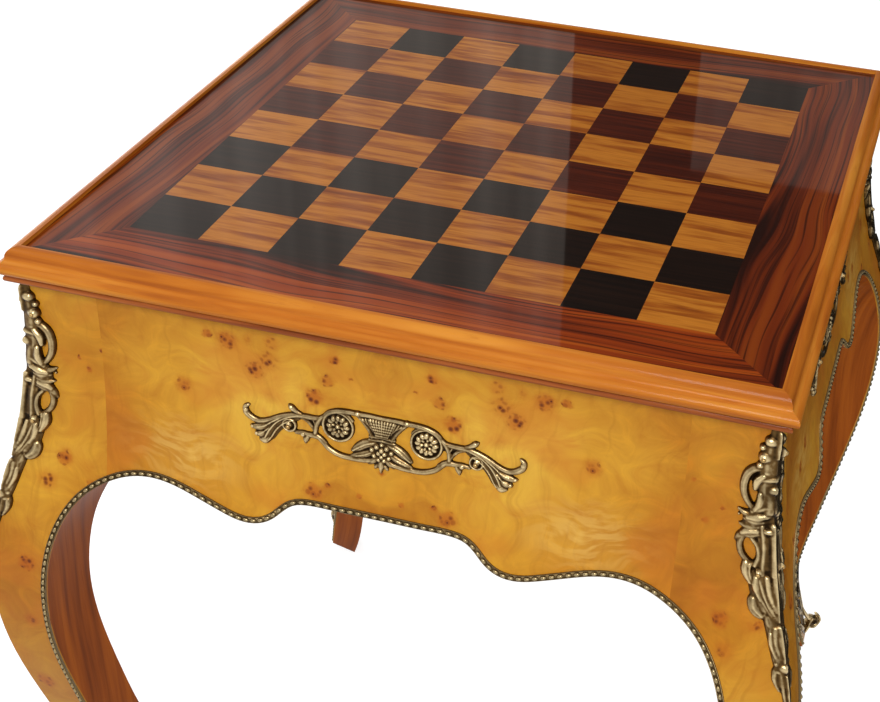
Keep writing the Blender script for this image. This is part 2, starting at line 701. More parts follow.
BRIGHT_BRASS = brass_finish("aged_brass", tint(196, 174, 130), tint(96, 72, 40),
                            tint(34, 23, 11), 0.45)
DULL_BRASS = brass_finish("bead_brass", tint(146, 129, 94), tint(128, 109, 75),
                          tint(112, 93, 62), 0.2)

NODE_FINISHES = {
    "light_squares": light_finish(),
    "black_squares": dark_finish("ebony_veneer", tint(15, 7, 4), tint(26, 13, 7),
                                 tint(38, 20, 11)),
    "brown_squares": dark_finish("redbrown_veneer", tint(46, 13, 4), tint(70, 22, 6),
                                 tint(96, 35, 10)),
    "border_strip": rosewood_finish(),
    "rim_moulding": moulding_finish("rim_cherry", tint(212, 136, 46), tint(190, 108, 28),
                                    tint(156, 78, 17)),
    "bed_moulding": moulding_finish("bed_walnut", tint(186, 106, 48), tint(150, 76, 30),
                                    tint(96, 42, 16)),
    "apron_veneer": burl_finish(),
    "apron_mount": BRIGHT_BRASS,
    "corner_mount": BRIGHT_BRASS,
    "foot_mount": BRIGHT_BRASS,
    "mount_pins": plain_metal("pin_brass", tint(168, 138, 88), 0.34, tint(92, 68, 34)),
    "bead_trim": DULL_BRASS,
    "leg": upright_wood("mahogany_leg", tint(184, 98, 28), tint(160, 80, 22),
                        tint(120, 55, 13), 0.45, 0.04),
    "board_panel": plain_sheet("plywood_core", tint(206, 172, 124), tint(160, 120, 76), 0.7),
    "backing_veneer": plain_sheet("backing_leaf", tint(150, 96, 52), tint(104, 60, 30), 0.6),
    "cleats": upright_wood("softwood", tint(214, 180, 128), tint(196, 156, 102),
                           tint(150, 108, 62), 0.65, 0.0),
    "brace_screws": plain_metal("zinc_screw", tint(190, 186, 176), 0.35),
    "foot_glides": glide_finish(),
}
NODE_FINISHES["apron"] = NODE_FINISHES["leg"]
NODE_FINISHES["leg_veneer"] = NODE_FINISHES["apron_veneer"]
NODE_FINISHES["corner_brace"] = NODE_FINISHES["cleats"]
NODE_FINISHES["top_screws"] = NODE_FINISHES["brace_screws"]


def finish_of(node):
    """Finish of a CAD node: its own name's, or that of the name without its side or corner."""
    for place in SIDES + CORNERS:
        if node.endswith("_" + place) and node[:-len(place) - 1] in NODE_FINISHES:
            return NODE_FINISHES[node[:-len(place) - 1]]
    return NODE_FINISHES[node]


def dress_nodes():
    """Give every CAD node its finish."""
    for name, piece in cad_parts.items():
        finish = finish_of(name)
        if not piece.material_slots:
            piece.data.materials.append(finish)
        for slot in piece.material_slots:
            slot.material = finish


# ---- apron mounts: right half, (sideways, up) from the middle, mm ----

MOUNT_MIDDLE = 618.0       # height of the mount's middle
# rows of (sideways, up, half width, height)
MOUNT_STEMS = (
    # upper stem from the ring out to the hooked end
    ((43, 12, 1.7, 2.2), (49, 9.6, 1.9, 2.4), (57, 9.2, 2.0, 2.5), (64, 9.0, 2.0, 2.6),
     (71, 7.6, 2.1, 2.8), (79, 4.6, 2.0, 2.8), (87, 0.4, 1.9, 2.6), (94, -1.8, 2.0, 2.6),
     (100, -0.6, 2.3, 2.8), (104.6, 3.0, 2.4, 3.0), (105.4, 7.4, 1.9, 2.8), (103.0, 9.6, 1.3, 2.2)),
    # bud on its stalk
    ((60, 9.4, 1.3, 2.0), (65, 11.6, 1.5, 2.4), (69, 14.2, 2.2, 3.2), (71.2, 15.8, 1.3, 2.2)),
    # lower stem under the lens opening
    ((43, -9.5, 1.9, 2.4), (47, -6.2, 2.1, 2.6), (51, -5.0, 2.2, 2.8), (56, -5.0, 2.0, 2.6),
     (61, -4.6, 1.8, 2.4), (66, -5.2, 1.6, 2.2)),
    # hanging leaf
    ((56.5, -6, 1.8, 2.6), (58.2, -9.5, 2.2, 2.8), (58.6, -12.6, 0.9, 1.6)),
    # band that crosses from the ring to the lower stem
    ((43, 13.5, 1.7, 2.4), (47.5, 9.5, 1.8, 2.8), (50.0, 4.0, 1.7, 2.8), (51.0, -3.0, 1.7, 2.6)),
    ((50, -3.5, 1.4, 2.4), (53.5, 2.0, 1.3, 2.2), (58, 6.4, 1.3, 2.2), (64, 8.4, 1.3, 2.2)),
    # swag from the middle under the ring
    ((5, -15.0, 1.7, 2.4), (13, -16.6, 1.9, 2.8), (23, -17.0, 2.0, 2.9), (32, -16.4, 2.0, 2.9),
     (40, -13.2, 2.0, 2.8), (45, -8.6, 1.9, 2.7), (49.5, -4.4, 1.8, 2.6)),
    # garland along the top
    ((45, 11.0, 1.6, 2.4), (40.5, 16.0, 1.9, 2.8), (34, 19.0, 2.0, 3.0), (26, 20.0, 1.9, 2.8),
     (19, 20.0, 1.9, 2.8), (11, 20.4, 1.7, 2.6), (0, 20.2, 1.6, 2.6)),
    # edge of the fan
    ((18.5, 19.0, 1.6, 2.4), (14.0, 14.0, 1.5, 2.3), (10.0, 8.5, 1.4, 2.2), (7.4, 3.0, 1.5, 2.2)),
    # ribbon
    ((9.8, 3.9, 0.95, 2.3), (0, 4.5, 0.95, 2.5)), ((9.8, 1.4, 0.95, 2.3), (0, 2.0, 0.95, 2.5)),
)
MOUNT_LEAVES = (
    # end leaf, its body first, then its lobes
    ((64, 7.0, 2.0, 1.6), (72, 4.0, 3.8, 2.0), (79.5, -0.6, 4.8, 2.2), (84.5, -6.0, 5.2, 2.4),
     (87.5, -11.5, 4.8, 2.4), (89.5, -15.5, 3.2, 2.2)),
    ((87, -3.0, 1.8, 2.2), (93, -6.2, 2.8, 3.0), (98.5, -7.4, 2.2, 2.6), (101.5, -7.0, 0.8, 1.6)),
    ((88, -9.0, 1.8, 2.2), (93, -12.0, 2.7, 3.0), (97.0, -13.0, 1.6, 2.2)),
    ((86, -13.0, 2.0, 2.4), (90.0, -16.4, 2.9, 3.4), (93.5, -16.6, 1.6, 2.4)),
    # web between ring and lens
    ((43, 9, 2.2, 1.2), (48, 7.5, 3.6, 1.5), (54, 8.2, 2.4, 1.3), (60, 8.8, 1.2, 1.0)),
    # leaves beside the lower cluster
    ((5, -0.5, 2.4, 2.2), (11.5, -2.6, 3.3, 3.0), (17.5, -6.6, 3.2, 3.0), (22.5, -10.6, 1.4, 2.0)),
    ((6, -8.0, 2.2, 2.0), (12, -11.0, 2.8, 2.8), (18.5, -13.4, 2.3, 2.6), (23, -15.0, 1.2, 2.0)),
    ((2.5, -12, 2.0, 2.2), (6.5, -15.6, 2.3, 2.6), (9.5, -18.6, 1.0, 1.6)),
    ((1.5, -17.5, 1.4, 2.2), (4.0, -19.6, 1.5, 2.2), (5.0, -21.6, 0.6, 1.4)),
)
MOUNT_VEINS = (
    ((66, 8.2, 0.7, 3.2), (74, 5.2, 0.8, 3.4), (81.5, -0.6, 0.9, 3.6), (86.5, -7.6, 0.9, 3.7),
     (89.6, -14.0, 0.9, 3.6)),
    ((68, 4.4, 0.7, 3.0), (75, 0.6, 0.8, 3.2), (80.6, -5.4, 0.8, 3.4), (84.0, -11.6, 0.8, 3.4),
     (86.6, -15.6, 0.8, 3.2)),
    ((76, 5.6, 0.6, 2.9), (84, 0.2, 0.8, 3.3), (90.0, -4.6, 0.8, 3.3), (95.6, -6.4, 0.7, 3.4)),
    ((86.6, -5.6, 0.6, 3.0), (91.0, -9.8, 0.7, 3.4), (95.0, -12.4, 0.7, 3.2)),
    ((6, -0.8, 0.6, 3.0), (12, -2.8, 0.8, 3.8), (18, -7.0, 0.8, 3.8), (22, -10.6, 0.6, 2.6)),
    ((8, -9.0, 0.6, 2.6), (13, -11.6, 0.7, 3.5), (19, -13.8, 0.6, 3.2)),
    ((52.5, 7.6, 0.6, 2.2), (50.8, 2.6, 0.6, 2.2), (51.4, -2.0, 0.5, 2.0)),
)
MOUNT_SWELL = 1.2          # how much fatter the bars are cast than they are drawn
RING_MIDDLE = (33.5, 6.6)
RING_RADIUS = 11.4
FLOWER_PETALS = 6
FLOWER_REACH = 6.6
FAN_RIBS = 4               # on each side of the middle one
RIB_BEADS = 6
APRON_GRAIN = 0.53         # edge of the cells that the casting is melted in, mm
APRON_FULL_HEIGHT = 3.8
# (sideways, up, radius, height)
MOUNT_BUDS = ((18.6, 20.2, 2.5, 3.4), (60.4, -5.6, 2.3, 3.2), (69.5, 15.0, 2.2, 3.4),
              (96.6, -12.4, 2.0, 3.2), (100.0, -7.2, 1.8, 3.0), (89.6, -16.2, 2.4, 3.6),
              (105.0, 5.4, 2.4, 3.4))
MOUNT_CLUSTER = ((3.8, -3.6, 2.3), (7.4, -6.4, 2.1), (2.3, -8.4, 2.2), (5.6, -11.0, 2.0),
                 (2.0, -13.6, 1.9))
# bars that cross the middle: ground behind the fan and the cluster, middle rib and hanging tip
MOUNT_MIDDLE_BARS = (
    ((0, 3, 3.6, 1.4), (0, 8, 6.2, 1.6), (0, 12.5, 8.4, 1.5)),
    ((0, 1, 6.5, 1.6), (0, -6, 10.5, 1.8), (0, -13, 7.5, 1.7), (0, -18, 3.0, 1.6)),
    ((0, -15.5, 2.4, 3.0), (0, -19.0, 2.5, 3.2), (0, -22.0, 1.5, 2.6), (0, -24.6, 0.6, 1.6)),
)


def flower(bm, x, y, reach, height):
    """Open flower: petals of two long beads and a small one, round a button."""
    for i in range(FLOWER_PETALS):
        angle = 360 * i / FLOWER_PETALS + 15
        for sideways in (-17, 17):
            turn = math.radians(angle + sideways)
            bead(bm, x + reach * math.cos(turn), y + reach * math.sin(turn), reach * 0.34, height,
                 stretch=1.35, angle=angle)
        turn = math.radians(angle)
        bead(bm, x + reach * 0.56 * math.cos(turn), y + reach * 0.56 * math.sin(turn), reach * 0.2,
             height * 0.95, stretch=1.4, angle=angle)
    bead(bm, x, y, reach * 0.34, height * 1.2)


def rib_beads(bm, foot, top, shares, thin, low):
    """Row of beads up a rib, each a little larger than the one below it."""
    for share in shares:
        bead(bm, foot[0] + (top[0] - foot[0]) * share, foot[1] + (top[1] - foot[1]) * share,
             thin + share * 0.25, low + share * 0.5)


def apron_ornament():
    """Openwork mount: a fan over a cluster of fruit, a flower and a leaf on each side."""
    bm = bmesh.new()
    for rows in MOUNT_STEMS + MOUNT_LEAVES:
        bar(bm, [(x, y, half * MOUNT_SWELL, *rest) for x, y, half, *rest in rows])
    for rows in MOUNT_VEINS:
        bar(bm, rows)
    x, y = RING_MIDDLE
    bead(bm, x, y, RING_RADIUS, 1.3)
    hoop(bm, x, y, RING_RADIUS, 1.35, 2.7)
    hoop(bm, x, y, RING_RADIUS + 1.6, 1.2, 2.3, 20, 150)
    flower(bm, x, y, FLOWER_REACH, 3.2)
    for bud in MOUNT_BUDS:
        bead(bm, *bud)
    # scroll rosette at the foot of the end leaf
    hoop(bm, 71, 0, 4.8, 1.25, 2.9)
    bead(bm, 71, 0, 4.6, 1.8)
    bead(bm, 71, 0, 2.7, 4.8)
    # fan of beaded ribs, right half
    for i in range(1, FAN_RIBS + 1):
        top = (i * 2.25, 18.4)
        foot = (i * 1.05, 5.0)
        bar(bm, ((*foot, 0.75, 2.4), (*top, 1.15, 3.0)), sides=8, steps=6)
        rib_beads(bm, foot, top, [(step + 0.5) / RIB_BEADS for step in range(RIB_BEADS)], 0.95, 2.9)
    # slanting ribs between the fan and the opening
    for i in range(4):
        bar(bm, ((10.4 + i * 2.2, 17.8 - i * 0.4, 0.7, 2.6),
                 (7.0 + i * 1.6, 8.4 + i * 2.2, 0.6, 2.2)), sides=8)
    bar(bm, ((12.5, 18.0, 3.6, 1.5), (9.0, 11.5, 2.8, 1.4), (6.0, 5.0, 2.0, 1.3)))
    # cluster under the ribbon, right half
    for x, y, radius in MOUNT_CLUSTER:
        bead(bm, x, y, radius, radius + 1.4)
    mirrored(bm)
    for rows in MOUNT_MIDDLE_BARS:
        bar(bm, rows)
    bar(bm, ((0, 5.0, 0.8, 2.6), (0, 18.6, 1.2, 3.2)), sides=8, steps=6)
    rib_beads(bm, (0, 5), (0, 18.6), (0.1, 0.26, 0.42, 0.58, 0.74, 0.9), 1.0, 3.1)
    for y, radius in ((-1.2, 1.9), (-5.8, 2.3), (-11.0, 2.0)):
        bead(bm, 0, y, radius, radius + 1.5)
    return cast(bm, APRON_GRAIN, 2)


def make_apron_mounts():
    bm = apron_ornament()
    mark_hollows(bm, APRON_FULL_HEIGHT)
    laid(bm, lambda point: on_front(Vector((point.x, point.y + MOUNT_MIDDLE, point.z))))
    built_round(bm, "cast_apron_mount", "apron_mount", SIDES, BRIGHT_BRASS)


# ---- corner mounts: (reach from the corner, drop below the board, half width, height), mm ----

CORNER_HALF = (
    # scroll over the upper opening, and its curled head
    ((6, 60, 2.4, 3.4), (12, 60.6, 2.9, 4.2), (17, 65.5, 3.0, 4.6), (19.2, 74, 2.9, 4.6),
     (18.6, 82, 2.7, 4.4), (15.4, 89, 2.4, 4.0), (11, 94, 1.9, 3.2)),
    ((11.5, 71.5, 1.7, 4.0), (7.5, 68.2, 2.3, 4.8), (0, 66.6, 2.5, 5.0)),
    ((3.6, 77, 2.3, 3.8), (2.4, 85, 2.6, 4.2), (2.8, 94, 2.8, 4.6)),
    ((2, 89, 2.5, 4.4), (8, 91.6, 3.0, 5.0), (13.6, 95.0, 2.0, 3.8)),
    # spiked leaves
    ((12.5, 98.6, 2.6, 3.8), (18.5, 97.0, 2.4, 3.6), (23.0, 94.6, 0.8, 2.0)),
    ((5, 101.2, 1.8, 4.2), (12, 101.8, 3.1, 5.2), (18.6, 101.0, 1.4, 3.4)),
    ((8, 105.2, 1.9, 4.2), (15.5, 106.8, 2.6, 4.8), (22.0, 106.0, 1.0, 2.4)),
    ((8, 111, 1.9, 4.0), (15, 113, 2.5, 4.6), (22, 114, 1.3, 2.8)),
    ((17, 112.6, 2.8, 4.0), (22, 115.6, 2.6, 3.8), (25.4, 119.6, 0.8, 1.8)),
    # crescent round the lower opening
    ((19.5, 114, 2.3, 3.8), (22, 121, 2.3, 4.0), (21.2, 128, 2.4, 4.0), (17.6, 133, 2.2, 3.8),
     (13, 136, 2.0, 3.6)),
    ((13.6, 115, 1.7, 4.2), (9.4, 121, 1.9, 4.6), (9.0, 129, 2.0, 4.6), (12, 136.4, 2.2, 4.2)),
    # upright flutes
    ((6, 104, 2.0, 4.6), (4.8, 122, 1.8, 4.8), (7, 142, 2.2, 4.6)),
    # leaf under the opening
    ((17, 137, 3.0, 4.2), (17, 143.5, 3.3, 4.4), (14.6, 150, 1.8, 3.2)),
    ((14.6, 134.6, 1.0, 4.8), (15.4, 142, 1.1, 5.4), (14.0, 149, 0.8, 4.0)),
    # ribs of the long leaf
    ((13.2, 147, 1.7, 4.2), (10.4, 156, 1.9, 4.8), (5.4, 166, 1.7, 4.6), (1.6, 174, 1.0, 3.6)),
    ((8.6, 146, 1.6, 4.6), (6.4, 156, 1.8, 5.2), (3.2, 166, 1.4, 5.0), (0.6, 174, 0.9, 4.0)),
    ((3.8, 143, 1.5, 4.8), (3.0, 155, 1.6, 5.4), (1.0, 168, 1.0, 4.8)),
    # scroll bud
    ((14.2, 158.6, 1.7, 3.4), (17.2, 163, 2.0, 4.0), (16.6, 169.6, 2.2, 4.2),
     (11.6, 173.0, 2.2, 4.2), (7.0, 170.0, 1.7, 3.8), (8.6, 164.6, 1.3, 3.4)),
    ((6.6, 172, 2.4, 4.0), (5.6, 178, 2.4, 4.2), (2.6, 184, 1.2, 3.0)),
    # ribs of the husk
    ((4.6, 180, 1.4, 4.2), (6.0, 189, 1.7, 4.8), (3.6, 199, 1.1, 4.0)),
    ((2.2, 179, 1.1, 4.8), (3.0, 190, 1.3, 5.2), (1.6, 201, 0.9, 4.2)),
    # small side leaf and the ribs of the tail
    ((3.4, 207, 1.8, 3.4), (6.6, 212.6, 2.4, 3.6), (4.8, 220, 1.0, 2.2)),
    ((2.2, 212, 1.1, 3.8), (2.2, 227, 1.0, 3.6), (0.8, 243, 0.6, 2.4)),
)
CORNER_WEBS = (
    # column inside the upper scroll
    ((3.5, 40, 5.0, 3.6), (4.5, 50, 6.0, 3.9), (4.5, 60, 6.0, 4.2), (5.2, 70, 6.2, 4.2),
     (5.0, 80, 5.4, 4.2), (6.0, 90, 6.4, 4.2)),
    # leaf mass between the openings
    ((9.0, 95, 7.0, 4.2), (12.0, 103, 8.4, 4.4), (11.5, 110, 8.0, 4.2)),
    # column beside the lower opening
    ((5.0, 114, 6.0, 3.9), (5.0, 126, 5.6, 3.9), (6.4, 136, 7.0, 3.9)),
    # leaf mass under the lower opening, drawn in to the husk
    ((9.5, 142, 8.4, 4.2), (9.6, 150, 8.6, 4.4), (8.6, 160, 8.4, 4.2), (7.0, 168, 7.0, 4.2)),
    ((5.0, 172, 5.6, 3.9), (3.6, 184, 5.6, 4.2), (3.4, 196, 5.0, 4.2), (2.6, 208, 4.4, 3.9),
     (2.2, 220, 3.6, 3.6)),
)
CORNER_LEAVES = (
    # rounded leaves: the curled pair inside the scroll, then the lobes going down
    ((5.6, 64, 2.4, 5.4), (10.2, 69.5, 3.6, 6.2), (11.6, 76.5, 2.4, 5.0)),
    ((7.6, 79, 2.6, 5.2), (8.2, 87, 3.4, 6.0), (11.2, 93, 2.4, 5.0)),
    ((3.4, 96, 3.0, 5.4), (9.4, 98.4, 3.8, 6.2), (16.6, 99.6, 2.4, 4.8)),
    ((9.0, 108.6, 3.2, 5.2), (15.4, 109.6, 3.8, 5.8), (20.6, 112.6, 2.2, 4.4)),
    ((17.6, 134, 3.4, 5.0), (18.2, 141.6, 4.4, 5.8), (15.6, 149.6, 2.4, 4.6)),
    ((11.0, 144, 2.6, 5.2), (12.0, 152, 3.4, 6.0), (9.4, 161, 1.8, 4.8)),
    ((14.6, 160, 2.8, 4.6), (14.4, 167, 4.0, 5.4), (9.8, 172.4, 2.6, 4.8)),
    ((4.8, 183, 2.2, 5.0), (5.6, 191, 2.8, 5.6), (3.8, 200, 1.6, 4.6)),
    ((5.2, 210, 2.4, 4.2), (7.0, 216, 2.8, 4.4), (4.8, 224, 1.4, 3.2)),
)
CORNER_SWELL = 1.22        # how much fatter the bars are cast than they are drawn
CORNER_FULL_HEIGHT = 6.4
CORNER_MIDDLE = (
    # ground, ribs and tail that run down the corner itself
    ((0, 29, 5.2, 2.6), (0, 38, 6.4, 3.4), (0, 48, 5.2, 3.2)),
    ((0, 29, 1.5, 4.2), (0, 40, 1.9, 5.0), (0, 50, 1.5, 4.4)),
    ((0, 50, 5.0, 2.8), (0, 60, 5.5, 3.2), (0, 74, 5.2, 3.2), (0, 92, 6.0, 3.0)),
    ((0, 90, 7.0, 2.6), (0, 106, 13.0, 2.8), (0, 114, 14.0, 2.8), (0, 120, 8.0, 2.8)),
    ((0, 103, 2.3, 5.2), (0, 122, 2.0, 5.4), (0, 142, 2.4, 5.4)),
    ((0, 112, 7.0, 2.8), (0, 128, 7.0, 2.8), (0, 138, 12.0, 2.8), (0, 150, 13.0, 2.8),
     (0, 160, 10.0, 2.8), (0, 170, 5.4, 2.8), (0, 178, 3.0, 2.8)),
    ((0, 142, 1.7, 5.6), (0, 158, 1.7, 5.8), (0, 175, 0.9, 4.4)),
    ((0, 174, 4.6, 3.0), (0, 186, 7.6, 3.4), (0, 196, 6.4, 3.4), (0, 205, 3.0, 3.0)),
    ((0, 178, 1.7, 5.4), (0, 190, 1.7, 5.8), (0, 203, 1.2, 4.8)),
    ((0, 205, 3.4, 3.4), (0, 216, 4.4, 3.2), (0, 230, 3.6, 3.0), (0, 240, 2.4, 2.6),
     (0, 248.6, 0.8, 1.6)),
    ((0, 212, 1.1, 4.6), (0, 228, 1.0, 4.2), (0, 244, 0.6, 2.8)),
)
CORNER_BEADS = (
    # reach, drop, radius, height
    (4.4, 37, 4.4, 5.4), (7.0, 50.0, 4.8, 7.0), (8.8, 42.5, 2.8, 4.8), (9.4, 57.0, 3.0, 5.2),
    (0.0, 75.4, 4.2, 5.8), (2.6, 108, 2.8, 5.6),
    (16.4, 136.4, 3.2, 5.0), (9.0, 140, 3.2, 7.0), (12.2, 167, 3.0, 4.4), (0.0, 207, 4.4, 5.4),
    (4.2, 204.6, 2.2, 4.6), (3.6, 209.8, 2.0, 4.4), (22.4, 99.0, 1.2, 2.6), (4.6, 62, 3.0, 4.6),
)
CORNER_GRAIN = 0.62


def hung_bars(bm, drawn, swell=1.0):
    """Bars whose second number is a drop below the board."""
    for rows in drawn:
        bar(bm, [(reach, -drop, half * swell, height) for reach, drop, half, height in rows])


def make_corner_mounts():
    bm = bmesh.new()
    hung_bars(bm, CORNER_HALF, CORNER_SWELL)
    hung_bars(bm, CORNER_WEBS + CORNER_LEAVES)
    for reach, drop, radius, height in CORNER_BEADS:
        bead(bm, reach, -drop, radius, height)
    mirrored(bm)
    hung_bars(bm, CORNER_MIDDLE)
    bm = cast(bm, CORNER_GRAIN, 4)
    mark_hollows(bm, CORNER_FULL_HEIGHT)
    laid(bm, lambda point: on_corner(Vector((point.x, point.y + BOARD_HEIGHT, point.z))))
    built_round(bm, "cast_corner_mount", "corner_mount", CORNERS, BRIGHT_BRASS)


# ---- foot mounts: (reach, height above the floor, half width, height of relief), mm ----

FOOT_HALF = (
    ((5, 18, 3.0, 2.6), (11, 24, 4.2, 3.0), (16.4, 36, 1.6, 2.0)),
    ((5, 44, 3.0, 2.8), (10.6, 52, 3.6, 3.0), (14.4, 64, 1.4, 1.9)),
    ((4, 70, 2.6, 2.8), (8.4, 78, 3.1, 3.0), (11.2, 90, 1.2, 1.9)),
    ((2.6, 96, 2.0, 2.6), (5.4, 103, 2.3, 2.8), (6.8, 113, 0.9, 1.8)),
    ((9.0, 22, 0.8, 3.6), (13.4, 30, 0.8, 3.2)), ((8.6, 50, 0.8, 3.7), (12.2, 59, 0.7, 3.1)),
    ((7.0, 76, 0.7, 3.7), (9.6, 86, 0.6, 3.0)),
    ((4.4, 40, 0.9, 3.4), (4.8, 66, 0.9, 3.5), (3.4, 94, 0.8, 3.3), (1.8, 118, 0.6, 2.6)),
)
FOOT_MIDDLE = (
    ((0, 15.5, 12.5, 1.9), (0, 26, 13.0, 2.0), (0, 50, 11.0, 2.1), (0, 80, 8.0, 2.1),
     (0, 108, 5.0, 2.0), (0, 124, 2.6, 1.9), (0, 133, 0.9, 1.4)),
    ((0, 36, 2.2, 4.4), (0, 60, 1.9, 4.4), (0, 90, 1.5, 4.0), (0, 118, 1.0, 3.2),
     (0, 130, 0.6, 2.2)),
)
FOOT_GRAIN = 0.7
FOOT_FULL_HEIGHT = 4.0
TOE_MIDDLE_HEIGHT = 21.0
TOE_OUT = 9.0              # scroll centre outside the leg's corner, along X and Y
TOE_REACH = 9.2
TOE_START = -120           # direction in which the spiral starts, degrees
TOE_PROUD_REACH = 10.0     # distance from the scroll's middle at which it is rubbed bright
# (turn in degrees, distance from the middle)
TOE_TURNS = ((0, 0), (70, 2.2), (150, 4.4), (240, 6.4), (320, 7.8), (400, 8.6), (470, 9.0),
             (520, TOE_REACH))
# stalk that runs up on to the leaf, and the lip under the scroll
TOE_STALKS = (
    ((-7.6, 7.5, 2.4, 5.0), (-11.0, 13.0, 2.6, 4.6), (-15.0, 20.0, 2.2, 3.8),
     (-18.6, 28.0, 1.4, 2.6)),
    ((-7.0, -5.0, 2.4, 5.6), (-9.0, -8.5, 2.6, 5.6), (-10.4, -12.0, 2.2, 5.0)),
)


def toe_scroll():
    """Rolled end of the foot leaf: a spiral in the upright plane through the leg's corner."""
    bm = bmesh.new()
    rows = []
    for angle, radius in TOE_TURNS:
        turn = math.radians(angle + TOE_START)
        rows.append((radius * math.cos(turn), radius * math.sin(turn), 1.9,
                     5.6 + 0.15 * (TOE_REACH - radius)))
    bar(bm, rows, sides=12, steps=6)
    bead(bm, 0, 0, 7.4, 4.6)
    bead(bm, 0, 0, 3.0, 7.0)
    for rows in TOE_STALKS:
        bar(bm, rows)
    made = melted(bm, FOOT_GRAIN, 1)
    mark_proud(made, lambda vert: math.hypot(vert.co.x, vert.co.y) / TOE_PROUD_REACH)
    out = face_at(TOE_MIDDLE_HEIGHT)[0] + TOE_OUT
    outward = Vector((-1, -1, 0)).normalized()
    width = outward.cross(Vector((0, 0, 1)))
    for vert in made.verts:
        place = Vector((-out, -out, TOE_MIDDLE_HEIGHT)) + outward * vert.co.x + width * vert.co.z
        vert.co = (place + Vector((0, 0, vert.co.y))) * MM
    return made


def make_foot_mounts():
    bm = bmesh.new()
    for rows in FOOT_HALF:
        bar(bm, rows)
    bead(bm, 8.0, 75.0, 2.8, 3.6)
    mirrored(bm)
    for rows in FOOT_MIDDLE:
        bar(bm, rows)
    bm = cast(bm, FOOT_GRAIN, 2)
    mark_hollows(bm, FOOT_FULL_HEIGHT)
    laid(bm, on_corner)
    poured(bm, toe_scroll())
    built_round(bm, "cast_foot_mount", "foot_mount", CORNERS, BRIGHT_BRASS)


# ---- bead trims: the lower edge of one side, right half, (sideways, height), mm ----

TRIM_POINTS = ((0, 555.5), (38, 555.5), (56, 555.2), (66.5, 552.8), (75, 546.3), (83, 538.7),
               (93, 533.6), (107, 532.3), (124, 536.2), (144, 542.8), (163, 548.5), (181, 550.7),
               (200, 547.8), (219, 539), (239, 523), (254.3, 501), (268.2, 459), (273, 418),
               (273, 373), (267, 320), (260, 270), (251.5, 220), (248.5, 105), (262.5, 35),
               (273, 0))
TRIM_HALF_WIDTH = 2.5
TRIM_FOOT = 6.5            # lowest end of the trim
BEAD_PITCH = 6.3
STRIP_STEP = 4.0
STRIP = (2.3, 0.9)         # half width and height of the flat strip
EDGE_WIRE = (0.55, 1.5)    # the same of the wire along each edge of it
EDGE_WIRE_OUT = 1.9
BEAD_RADII = (2.75, 1.6, 2.1)      # along, across, up
BEAD_LIFT = 0.7
BEAD_DARK_BELOW = 0.8      # height up to which the trim is dark, and over which it brightens
BEAD_BRIGHT_OVER = 1.7
CURVE_SAMPLES = 4000


def even_curve(points, spacing):
    """Natural cubic curve through points, cut into equal steps; (place, direction) at each."""
    points = np.array(points, float)
    chords = np.concatenate([[0], np.cumsum(np.linalg.norm(np.diff(points, axis=0), axis=1))])
    count = len(points)
    steps = np.diff(chords)
    system = np.eye(count)
    target = np.zeros((count, 2))
    for i in range(1, count - 1):
        system[i, i - 1:i + 2] = (steps[i - 1], 2 * (steps[i - 1] + steps[i]), steps[i])
        target[i] = 6 * ((points[i + 1] - points[i]) / steps[i]
                         - (points[i] - points[i - 1]) / steps[i - 1])
    bends = np.linalg.solve(system, target)
    at = np.linspace(0, chords[-1], CURVE_SAMPLES)
    i = np.clip(np.searchsorted(chords, at) - 1, 0, count - 2)
    h = steps[i][:, None]
    a = (chords[i + 1] - at)[:, None] / h
    b = 1 - a
    dense = (a * points[i] + b * points[i + 1]
             + ((a ** 3 - a) * bends[i] + (b ** 3 - b) * bends[i + 1]) * h * h / 6)
    runs = np.concatenate([[0], np.cumsum(np.linalg.norm(np.diff(dense, axis=0), axis=1))])
    stops = np.linspace(0, runs[-1], int(round(runs[-1] / spacing)) + 1)
    places = np.stack([np.interp(stops, runs, dense[:, k]) for k in range(2)], axis=1)
    return places, np.gradient(places, axis=0)


def square_to(runs):
    """Unit vectors square to directions in the plane."""
    across = np.stack([-runs[:, 1], runs[:, 0]], axis=1)
    return across / np.linalg.norm(across, axis=1)[:, None]


def trim_centre(spacing):
    """Centre line of the trim from the left foot over the apron to the right foot."""
    left = [(-x, y) for x, y in reversed(TRIM_POINTS[1:])]
    places, runs = even_curve(left + list(TRIM_POINTS), spacing)
    centre = places + square_to(runs) * TRIM_HALF_WIDTH
    keep = centre[:, 1] > TRIM_FOOT
    return centre[keep], runs[keep]


def make_bead_trims():
    bm = bmesh.new()
    centre, runs = trim_centre(STRIP_STEP)
    bar(bm, [(x, y, *STRIP) for x, y in centre], sides=8, steps=1)
    for side in (-EDGE_WIRE_OUT, EDGE_WIRE_OUT):
        bar(bm, [(x, y, *EDGE_WIRE) for x, y in centre + square_to(runs) * side], sides=6, steps=1)
    for (x, y), (run_x, run_y) in zip(*trim_centre(BEAD_PITCH)):
        part = bmesh.new()
        matrix = (Matrix.Translation((x, y, BEAD_LIFT))
                  @ Matrix.Rotation(math.atan2(run_y, run_x), 4, "Z")
                  @ Matrix.Diagonal((*BEAD_RADII, 1)) @ Matrix.Rotation(math.radians(90), 4, "Y"))
        bmesh.ops.create_uvsphere(part, u_segments=8, v_segments=6, radius=1.0, matrix=matrix)
        poured(bm, part)
    mark_proud(bm, lambda vert: (vert.co.z - BEAD_DARK_BELOW) / BEAD_BRIGHT_OVER)
    laid(bm, on_front)
    built_round(bm, "beaded_trim", "bead_trim", SIDES, DULL_BRASS)


# ---- floor, light and camera ----

